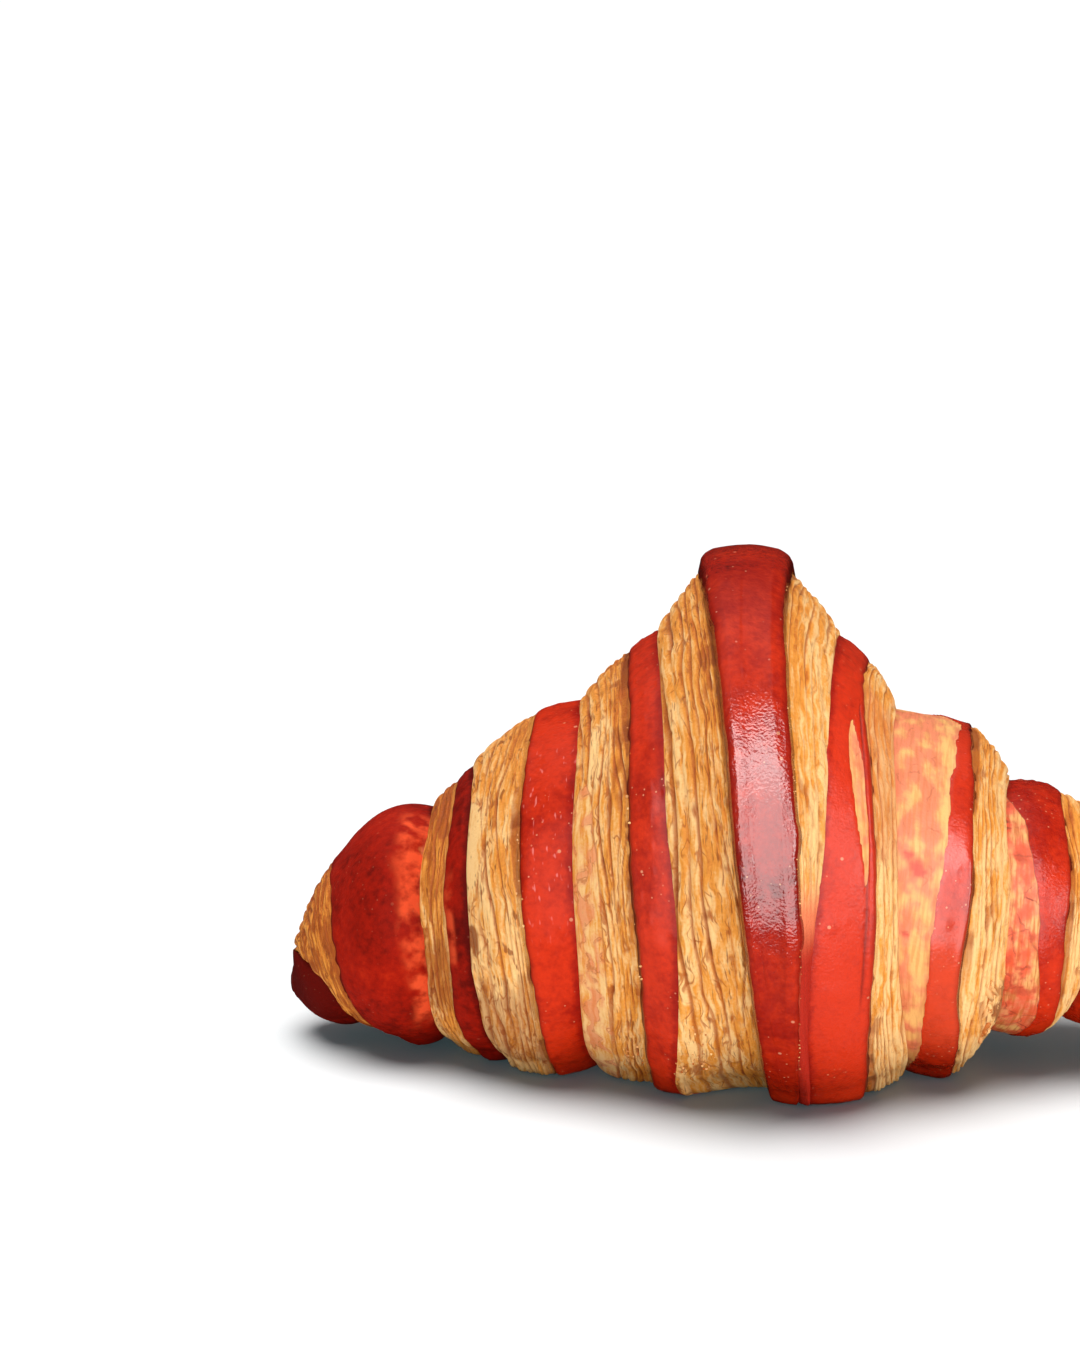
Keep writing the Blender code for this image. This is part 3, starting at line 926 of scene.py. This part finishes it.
def flushed_share(side, turn, share, along, from_lip):
    """Where the sheet is thin: pink over the dough, or orange over the red."""
    ragged = 0.10 * uneven(53, along / 0.006, from_lip / 0.003)
    if side == "left":
        thin = patch(turn, share + ragged, (3.60, 3.98), (0.66, 3.0), (0.05, 0.16))
        return thin + 0.6 * patch(turn, share + ragged, (2.70, 2.84), (-1.0, 0.45), (0.03, 0.2))
    low = 1.79 + 0.09 * uneven(54, along / 0.006, from_lip / 0.0022)
    second = ease((turn - low) / 0.05) * ease((share - 0.30) / 0.30) * (turn > 1.5) * (turn < 2.15)
    third = 0.75 * (turn > 2.5) * (turn < 3.0)
    return np.clip((second + third) * ease((share - 0.1) / 0.1) + ragged, 0, 1)


# Turn, share and size of each red spot, and the second wrap's length and width where they are.
RED_SPOTS = ((1.800, 0.74, 0.0016), (1.812, 0.86, 0.0008), (1.742, 0.90, 0.0007))
SPOTTED_LENGTH = 2 * np.pi * MIDDLE_RADIUS * 0.7
SPOTTED_WIDTH = 0.010


def spotted_share(side, turn, share, along, from_lip):
    """A few red spots on the bared dough of the second right wrap."""
    spots = np.zeros_like(share + turn)
    if side == "right":
        ragged = 0.5 * uneven(57, along / 0.0009, from_lip / 0.0009)
        for at_turn, at_share, size in RED_SPOTS:
            near = np.hypot((turn - at_turn) * SPOTTED_LENGTH, (share - at_share) * SPOTTED_WIDTH)
            spots = np.maximum(spots, ease(1.4 - near / size + ragged))
    return spots


def closed_sleeve(sections, numbers, name):
    """A closed mesh from cross-sections that each go once round."""
    rows, columns = sections.shape[:2]
    index = np.arange(rows * columns).reshape(rows, columns)
    a = index[:-1]
    b = np.roll(index, -1, axis=1)[:-1]
    c = np.roll(index, -1, axis=1)[1:]
    d = index[1:]
    parts = [np.stack([a, b, c], axis=-1), np.stack([a, c, d], axis=-1)]
    triangles = [part.reshape(-1, 3) for part in parts]
    points = [sections.reshape(-1, 3)]
    for row, order in ((0, -1), (rows - 1, 1)):
        hub = np.full(columns, sum(len(p) for p in points))
        points.append(sections[row].mean(axis=0, keepdims=True))
        ring = index[row][::order]
        triangles.append(np.stack([ring, np.roll(ring, -1), hub], axis=-1))
    for label, values in numbers.items():
        numbers[label] = np.append(values.ravel(), [values[0].mean(), values[-1].mean()])
    return shell_from(np.concatenate(points) + BOX_SHIFT, np.concatenate(triangles), numbers, name)


def sheet_numbers(side, turn, share, along, from_lip, from_end, up):
    """The numbers that the red dough's skin is coloured by."""
    thickness = np.interp(turn, SHEET_TURNS, SHEET_THICKNESS)
    # The rim is painted dark: the cut wall under the lip, the top next to the lip and the strand's
    # line. It is painted shade with some browning of the cut rim.
    rim = ease(1.4 * -up / thickness) + 0.45 * ease(1 - from_lip / 0.0009)
    return {
        "along": along,
        "from_lip": from_lip,
        "from_end": from_end,
        "wrap": turn + 0 * share,
        "bared": bared_share(side, turn, share, along, from_lip),
        "flushed": flushed_share(side, turn, share, along, from_lip),
        "spotted": spotted_share(side, turn, share, along, from_lip),
        "rim": rim + 0.7 * strand_line(side, turn, share),
        "side": np.full(share.shape, float(SIDES[side])),
    }


def side_sheet(side):
    """The sheet of one side, from the tip to where the last wrap begins underneath."""
    turn = np.arange(TIP_TURN, POINT_TURN + 1, -1 / SHEET_ROWS)
    x, radius, up, share, along, from_lip, from_end = sheet_rows(side, turn, SHEET_COLUMNS)
    turn = turn[:, None]
    raised = blisters(61, along, from_lip) + 0.0002 * uneven(62, along / 0.009, from_lip / 0.005)
    torn = bared_share(side, turn, share, along, from_lip)
    sunk = TORN_DEPTH + 0.00012 * uneven(63, along / 0.002, from_lip / 0.0015)
    raised = raised * (1 - torn) - torn * sunk
    raised *= ease(from_lip / 0.0012) * ease((TIP_TURN - 0.3 - turn) / 0.3)
    raised -= 0.00005 * sliver_share(side, turn, share)
    raised += 0.00030 * strand_share(side, turn, share) - 0.00025 * strand_line(side, turn, share)
    end = x[:, -1:]
    away = np.sign(end - x[:, :1])
    tuck = away * TUCK * ease((TIP_TURN - 0.1 - turn) / 0.3)
    tuck_x = beside(end + tuck, end + tuck)
    tuck_depth = beside(0 * end, np.interp(turn, SHEET_TURNS, SHEET_THICKNESS))
    x = beside(x, tuck_x)
    radius = beside(radius, radius[:, -1:], radius[:, -1:])
    depth = beside(-up - raised, tuck_depth)
    sections = on_the_roll(x, radius, turn + 0 * x, depth)
    sections[..., 2] = np.maximum(sections[..., 2], SHEET_LIFT)
    numbers = sheet_numbers(side, turn, share, along, from_lip, from_end, up)
    for label, values in numbers.items():
        numbers[label] = beside(values, values[:, -1:], values[:, -1:])
    return closed_sleeve(sections, numbers, "red_sheet_" + side)


def middle_strap():
    """The sheet over the last wrap, from lip to lip, with its point underneath."""
    turn = np.linspace(POINT_TURN + 1.03, POINT_TURN + 0.004, STRAP_ROWS)
    parts = []
    for side in SIDES:
        rows = sheet_rows(side, turn, STRAP_COLUMNS, to_middle=True)
        x, radius, up, share, along, from_lip, from_end = rows
        from_end = np.ones_like(x)
        numbers = sheet_numbers(side, turn[:, None], share, along, from_lip, from_end, up)
        numbers["side"] = np.zeros_like(x)
        parts.append({"x": x, "radius": radius, "up": up, **numbers})
    left, right = parts
    left_lip = left["x"][:, :1]
    right_lip = right["x"][:, :1]
    left["x"][:, -1] = 0.5 * (left["x"][:, -1] + right["x"][:, -1])
    numbers = {}
    for label in left:
        numbers[label] = beside(left[label], right[label][:, -2::-1])
    x = numbers.pop("x")
    radius = numbers.pop("radius")
    up = numbers.pop("up")
    centre = 0.5 * (left_lip + right_lip)
    from_middle = (x - centre) / (right_lip - centre)
    shown = stretch(turn[:, None], -0.34, 0.48, 0.08, 0.10)
    radius = radius + STRAP_SHOULDER * np.minimum(from_middle ** 2, 1.0) * shown
    raised = 0.00012 * uneven(71, numbers["along"] / 0.006, x / 0.005)
    raised += 0.00005 * uneven(72, numbers["along"] / 0.0022, x / 0.0018)
    raised *= ease(numbers["from_lip"] / 0.001)
    sections = on_the_roll(x, radius, turn[:, None] + 0 * x, -up - raised)
    sections[..., 2] = np.maximum(sections[..., 2], SHEET_LIFT)
    return closed_sleeve(sections, numbers, "red_strap")


BRIGHT_RED = shade(216, 50, 14)
BAKED_RED = shade(164, 24, 6)
DARK_RED = shade(96, 9, 3)
RIM_BROWN_AND_SHADE = shade(112, 18, 7)
CREAM_DOUGH = shade(250, 190, 112)
SALMON_DOUGH = shade(240, 136, 94)
ORANGE_RED = shade(240, 84, 44)
PALE_SPECK = shade(240, 170, 130)
PINK_GLINT = shade(240, 140, 130)
CRACK_BROWN = shade(150, 52, 22)
SPOT_RED = shade(214, 70, 58)
PALE_CREAM = shade(255, 222, 164)


def red_finish(name, darker, gloss, smooth, left_share, coat, dense=1.45):
    """The red dough's skin: brighter or more baked in clouds, with pores, blisters and specks."""
    red = Finish(name, Specular_IOR_Level=gloss, Coat_Roughness=smooth, IOR=dense)
    right_share = 1 - left_share
    wrap = red.number("wrap")
    thin = red.number("flushed")
    blotches = red.grain(0.012)
    mottle = red.grain(0.0026, 3.0)

    dark = blotches.rising(0.35, 0.70) * 0.30 + mottle.rising(0.35, 0.75) * 0.20 + darker
    dark = dark + (red.grain(0.0009, 3.0) - 0.5) * 0.70
    # On the strap the red is painted darker down its front, low where it faces the floor, and on
    # its top, and lighter at its very end. Low on the front this is painted shade. On the top it is
    # baked colour and painted shade of the weak light from above.
    dark = dark + wrap.between(-0.30, -0.24, -0.22, -0.10) * 0.36
    dark = dark + (1 - wrap.rising(-0.32, -0.26)) * 0.20 - (1 - wrap.rising(-0.36, -0.32)) * 0.30
    dark = dark + wrap.between(-0.10, -0.04, 0.2, 0.4) * 0.20
    dark = dark + wrap.rising(2.6, 2.9) * right_share * 0.25
    baked = wrap.rising(2.2, 2.5) * 0.65 - wrap.rising(3.3, 3.6) * 0.22
    baked = baked + wrap.rising(4.4, 4.7) * 0.60
    # The last 1.2 mm of each band, where it goes in under the wrap above, is painted darker:
    # painted shade with some toasting.
    dark = dark + baked * left_share + (1 - red.number("from_end").rising(0.0, 0.0012)) * 0.35

    patches = red.grain(0.0026, 4.0).rising(0.34, 0.66)
    few = 1 - wrap.rising(2.2, 2.5) * left_share * 0.85
    colour = red.coated(
        BRIGHT_RED,
        (dark.rising(0.0, 0.75), BAKED_RED),
        (dark.rising(0.60, 1.30), DARK_RED),
        (thin * patches * 1.1 * left_share, ORANGE_RED),
        (wrap.between(1.60, 1.65, 1.72, 1.80) * right_share * 0.45, ORANGE_RED),
        (red.spots(0.0013, 0.00017) * blotches.rising(0.46, 0.62) * few * 0.70, PALE_SPECK),
        (red.spots(0.0050, 0.00034) * few * 0.6, PALE_SPECK),
    )
    if left_share:
        dashes = red.streaks(0.0020, "from_lip", 0.00060, 1.0, start=9.0).rising(0.64, 0.74)
        colour = red.mix(dashes * wrap.between(1.72, 1.80, 1.88, 1.94) * 0.60, colour, PINK_GLINT)
    # The rim's dark red is painted shade with some browning.
    colour = red.mix(red.number("rim") * 0.9, colour, RIM_BROWN_AND_SHADE)

    third = wrap.rising(2.3, 2.4)
    clouds = red.streaks(0.0048, "from_lip", 0.0024, 4.0, start=2.0)
    fibres = red.streaks(0.0050, "from_lip", 0.00045, 3.0, start=4.0)
    rosy = 0.54 + thin * 0.26 + (clouds - 0.5) * 3.0 + (mottle - 0.5) * 0.8
    cracked = clouds.rising(0.56, 0.62) * 0.5 + clouds.rising(0.44, 0.54) * third * 0.5
    pale = red.coated(
        CREAM_DOUGH,
        (clouds.rising(0.50, 0.64) * (1 - thin) * 0.6, PALE_CREAM),
        (rosy.rising(0.15, 0.95), SALMON_DOUGH),
        (fibres.rising(0.43, 0.63) * (0.34 + third * 0.42), TOASTED_LAYER),
        ((clouds * 0.6 + mottle * 0.4).rising(0.42, 0.58) * third * 0.8, ORANGE_RED),
        (mottle.rising(0.50, 0.72) * third * 0.45, CRACK_BROWN),
        (red.cracks(0.0042) * cracked * (0.50 + third * 0.40), CRACK_BROWN),
        (red.number("spotted") * 0.85, SPOT_RED),
    )
    torn = (red.number("bared") + mottle * 0.3 - 0.15).rising(0.38, 0.54 + left_share * 0.50)
    colour = red.mix(torn * (1 - left_share * 0.20), colour, pale)
    colour = red.mix(torn * (1 - torn) * 2.4 * right_share, colour, RIM_BROWN_AND_SHADE)

    skin = red.bump(mottle, 0.00002, red.bump(red.grain(0.00042, 1.0), 0.00008))
    roughness = smooth + mottle * 0.12 + torn * 0.25 + wrap.rising(1.6, 2.6) * 0.25 * left_share
    roughness = roughness + wrap.between(0.2, 0.4, 1.2, 1.4) * 0.08
    red.show(Base_Color=colour, Roughness=roughness, Normal=skin)
    if coat:
        near_middle = (1 - wrap.rising(1.1, 2.1)) * left_share
        second = wrap.between(1.4, 1.6, 2.4, 2.6) * right_share
        red.show(Coat_Weight=(near_middle + second) * (1 - torn) * coat)
    return red


# The left red is painted darker than the right: painted shade of the left half.
left_red = red_finish("left red", 0.12, 0.04, 0.32, 1.0, 0.40)
right_red = red_finish("right red", -0.02, 0.42, 0.20, 0.0, 0.80)
strap_red = red_finish("strap red", 0.20, 1.00, 0.13, 0.0, 0.0, dense=1.54)
sheets = [side_sheet("left"), side_sheet("right"), middle_strap()]
for piece, red in zip(sheets, [left_red, right_red, strap_red]):
    piece.data.materials.append(red.material)
    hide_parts("croissant")
    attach(piece, "root")


# The crumbs
# Crisp bits that broke off the layers when the croissant was handled. They stick to the rims of
# the bands and gather in the corners low on the front.
DUST_SIZE = (0.00007, 0.00018)
CRUMB_SIZE = (0.00010, 0.00028)
FLAKE_SIZE = (0.00026, 0.00072)
CRUMB_RUNS = [
    ("right", 0, (-0.200, -0.130), (0.90, 1.03), 46, DUST_SIZE),
    ("right", 0, (-0.130, -0.030), (0.94, 1.03), 16, DUST_SIZE),
    ("right", 0, (-0.360, -0.215), (0.90, 1.10), 26, DUST_SIZE),
    ("left", 0, (-0.385, -0.335), (0.00, 0.50), 40, CRUMB_SIZE),
    ("left", 1, (-0.385, -0.350), (0.60, 1.00), 16, CRUMB_SIZE),
    ("right", 2, (-0.385, -0.300), (0.02, 0.50), 80, FLAKE_SIZE),
    ("right", 2, (-0.385, -0.310), (0.02, 0.60), 30, CRUMB_SIZE),
    ("left", 2, (-0.330, -0.120), (0.94, 1.02), 12, CRUMB_SIZE),
    ("left", 1, (-0.330, -0.100), (0.96, 1.03), 12, CRUMB_SIZE),
]
CRUMB_COLOURS = (CREAM_CREST, TOASTED_LAYER)
CRUMB_CORNERS = 12
CRUMB_RISE = 0.0001
CRUMB_FLOOR_GAP = 0.0006


def crumb_shape():
    """The corners and faces of a rough lump with twenty sides."""
    golden = 0.5 * (1 + 5 ** 0.5)
    corners = np.array([(a, b * golden, 0) for a in (-1, 1) for b in (-1, 1)])
    corners = np.concatenate([np.roll(corners, turn, axis=1) for turn in range(3)])
    apart = np.linalg.norm(corners[:, None] - corners[None], axis=-1)
    near = apart < 2.1
    faces = []
    for i, j, k in itertools.combinations(range(CRUMB_CORNERS), 3):
        if near[i, j] and near[j, k] and near[i, k]:
            outward = np.dot(np.cross(corners[j] - corners[i], corners[k] - corners[i]), corners[i])
            faces.append((i, j, k) if outward > 0 else (i, k, j))
    return corners / np.linalg.norm(corners[0]), np.array(faces)


def crumbs():
    """All the crumbs as one mesh, in the order of their runs."""
    random = np.random.default_rng(91)
    corners, faces = crumb_shape()
    points = []
    triangles = []
    tones = []
    for side, wrap_number, turns, shares, count, sizes in CRUMB_RUNS:
        turn = wrap_number + random.uniform(*turns, (count, 1))
        share = random.uniform(*shares, (count, 1))
        lip, lip_radius = lip_end(side, turn)
        foot, foot_radius = foot_end(side, turn)
        over, up = edge_curve(np.interp(turn, WRAPS, EDGE_SWELL), share)
        x = foot + (lip - foot) * over
        radius = foot_radius + (lip_radius - foot_radius) * up + CRUMB_RISE
        places = on_the_roll(x, radius, turn).reshape(-1, 3)
        places[:, 2] = np.maximum(places[:, 2], CRUMB_FLOOR_GAP)
        ahead = on_the_roll(x, radius, turn + 0.01).reshape(-1, 3) - places
        ahead /= np.linalg.norm(ahead, axis=1, keepdims=True)
        for place, drawn_out in zip(places, ahead):
            size = random.uniform(*sizes) * random.uniform(0.5, 1.1, 3)
            lump = corners * size * random.uniform(0.75, 1.15, (CRUMB_CORNERS, 1))
            if sizes is FLAKE_SIZE:
                lean = drawn_out + random.normal(0, 0.30, 3)
                lump += np.outer(lump @ lean, lean) * random.uniform(0.8, 3.2)
            triangles.append(faces + CRUMB_CORNERS * len(points))
            points.append(place + lump)
            tones.append(np.full(CRUMB_CORNERS, random.uniform(0, 1)))
    points = np.concatenate(points) + BOX_SHIFT
    return shell_from(points, np.concatenate(triangles), {"tone": np.concatenate(tones)}, "crumbs")


crisp = Finish("crisp crumb", Specular_IOR_Level=0.2)
crisp.show(Base_Color=crisp.mix(crisp.number("tone"), *CRUMB_COLOURS), Roughness=0.6)
piece = crumbs()
piece.data.materials.append(crisp.material)
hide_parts("croissant")
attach(piece, "root")


# The floor, the light and the camera
# A plain pale floor with soft lights of its own. Broad soft windows light the croissant from the
# front, the right and high up, and a soft sky lights it from above and behind. The camera stands
# a little above it and looks at it from the front.
FLOOR_SIZE = 12.0
FLOOR_COLOUR = (0.25, 0.25, 0.25)

floor_mesh = bpy.data.meshes.new("floor")
half_floor = 0.5 * FLOOR_SIZE
corners = [(half_floor * x, half_floor * y, 0) for x, y in ((-1, -1), (1, -1), (1, 1), (-1, 1))]
floor_mesh.from_pydata(corners, [], [(0, 1, 2, 3)])
floor = bpy.data.objects.new("floor", floor_mesh)
bpy.context.scene.collection.objects.link(floor)
paint = Finish("floor paint", Roughness=0.9)
paint.show(Base_Color=FLOOR_COLOUR)
floor.data.materials.append(paint.material)


def aim(lamp, direction):
    """Turns the lamp so that it shines from this direction, and adds it."""
    lamp.rotation_mode = "QUATERNION"
    lamp.rotation_quaternion = Vector(direction).to_track_quat("Z", "Y")
    bpy.context.scene.collection.objects.link(lamp)


MIDDLE_OF_VIEW = Vector((0.0, 0.0, 0.04))
croissant_pieces = bpy.data.collections.new("croissant pieces")
for piece in list(bpy.context.scene.collection.objects):
    if piece.type == "MESH" and piece != floor:
        croissant_pieces.objects.link(piece)


def soft_window(name, direction, distance, width, height, brightness):
    """A rectangular soft lamp that shines from this direction, as bright as this all over."""
    lamp = bpy.data.lights.new(name, "AREA")
    lamp.shape = "RECTANGLE"
    lamp.size = width
    lamp.size_y = height
    lamp.energy = brightness * np.pi * width * height
    window = bpy.data.objects.new(name, lamp)
    window.location = MIDDLE_OF_VIEW + Vector(direction).normalized() * distance
    window.visible_camera = False
    aim(window, direction)
    window.light_linking.receiver_collection = croissant_pieces
    return window


front = soft_window("front window", (0.02, -0.94, 0.34), 0.95, 0.62, 0.86, 2.4)
front.visible_glossy = False
front_gleam = soft_window("front gleam", (0.0, -0.98, 0.20), 0.95, 1.40, 1.24, 3.1)
front_gleam.visible_diffuse = False
soft_window("right window", (0.82, -0.52, 0.20), 0.90, 0.42, 0.42, 5.0)
high_gleam = soft_window("high gleam", (0.0, -0.63, 0.78), 0.95, 1.40, 0.34, 4.8)
high_gleam.visible_diffuse = False


def soft_sun(name, direction, angle, strength, lit):
    """A broad sky light from this direction, on these objects only, that doesn't show as gloss."""
    light = bpy.data.lights.new(name, "SUN")
    light.angle = np.radians(angle)
    light.energy = strength
    lamp = bpy.data.objects.new(name, light)
    lamp.visible_glossy = False
    lamp.light_linking.receiver_collection = lit
    aim(lamp, direction)
    return lamp


bare_floor = bpy.data.collections.new("bare floor")
bare_floor.objects.link(floor)
soft_sun("soft sky", (-0.20, 0.42, 1.0), 55, 2.3, croissant_pieces)
soft_sun("floor sky", (-0.08, -0.19, 1.0), 50, 13.0, bare_floor)
floor_fill = soft_sun("floor fill", (0.0, 0.0, 1.0), 10, 0.65, bare_floor)
floor_fill.data.color = (0.45, 0.80, 0.90)
floor_fill.data.use_shadow = False
floor.visible_glossy = False

AIR_LIGHT = 0.40
AIR_IN_GLOSS = 0.02
world = bpy.data.worlds.new("studio air")
world.use_nodes = True
air = Nodes(world.node_tree)
direction = air.node("ShaderNodeTexCoord", output="Generated")
height = air.node("ShaderNodeSeparateXYZ", None, {"Vector": direction}, output="Z")
above = air.node("ShaderNodeMapRange", None, {"Value": height, "From Min": -0.15, "From Max": 0.10})
in_gloss = air.node("ShaderNodeLightPath", output="Is Glossy Ray")
inputs = {"Value": in_gloss, "To Min": AIR_LIGHT, "To Max": AIR_IN_GLOSS}
background = air.tree.nodes["Background"]
background.inputs["Color"].default_value = (1.0, 1.0, 1.0, 1.0)
air.feed(background.inputs["Strength"], above * air.node("ShaderNodeMapRange", None, inputs))
bpy.context.scene.world = world
bpy.context.scene.view_settings.view_transform = "Standard"

CAMERA_ELEVATION = np.radians(14.5)
CAMERA_YAW = np.radians(2.5)
CAMERA_DISTANCE = 0.620
CAMERA_LENS = 108.3
LOOKED_AT = Vector((0.0, 0.0, 0.038)) + Vector(BOX_SHIFT)
RIGHT_OF_CENTRE = 0.0310
BELOW_CENTRE = 0.0212

to_right = Vector((np.cos(CAMERA_YAW), np.sin(CAMERA_YAW), 0.0))
level_ahead = Vector((-np.sin(CAMERA_YAW), np.cos(CAMERA_YAW), 0.0))
ahead = level_ahead * np.cos(CAMERA_ELEVATION) - Vector((0, 0, np.sin(CAMERA_ELEVATION)))
upward = to_right.cross(ahead)
camera = bpy.data.objects.new("camera", bpy.data.cameras.new("camera"))
camera.data.lens = CAMERA_LENS
camera.location = LOOKED_AT - ahead * CAMERA_DISTANCE
centre = LOOKED_AT - to_right * RIGHT_OF_CENTRE + upward * BELOW_CENTRE
camera.rotation_mode = "QUATERNION"
camera.rotation_quaternion = (centre - camera.location).to_track_quat("-Z", "Y")
bpy.context.scene.collection.objects.link(camera)
bpy.context.scene.camera = camera
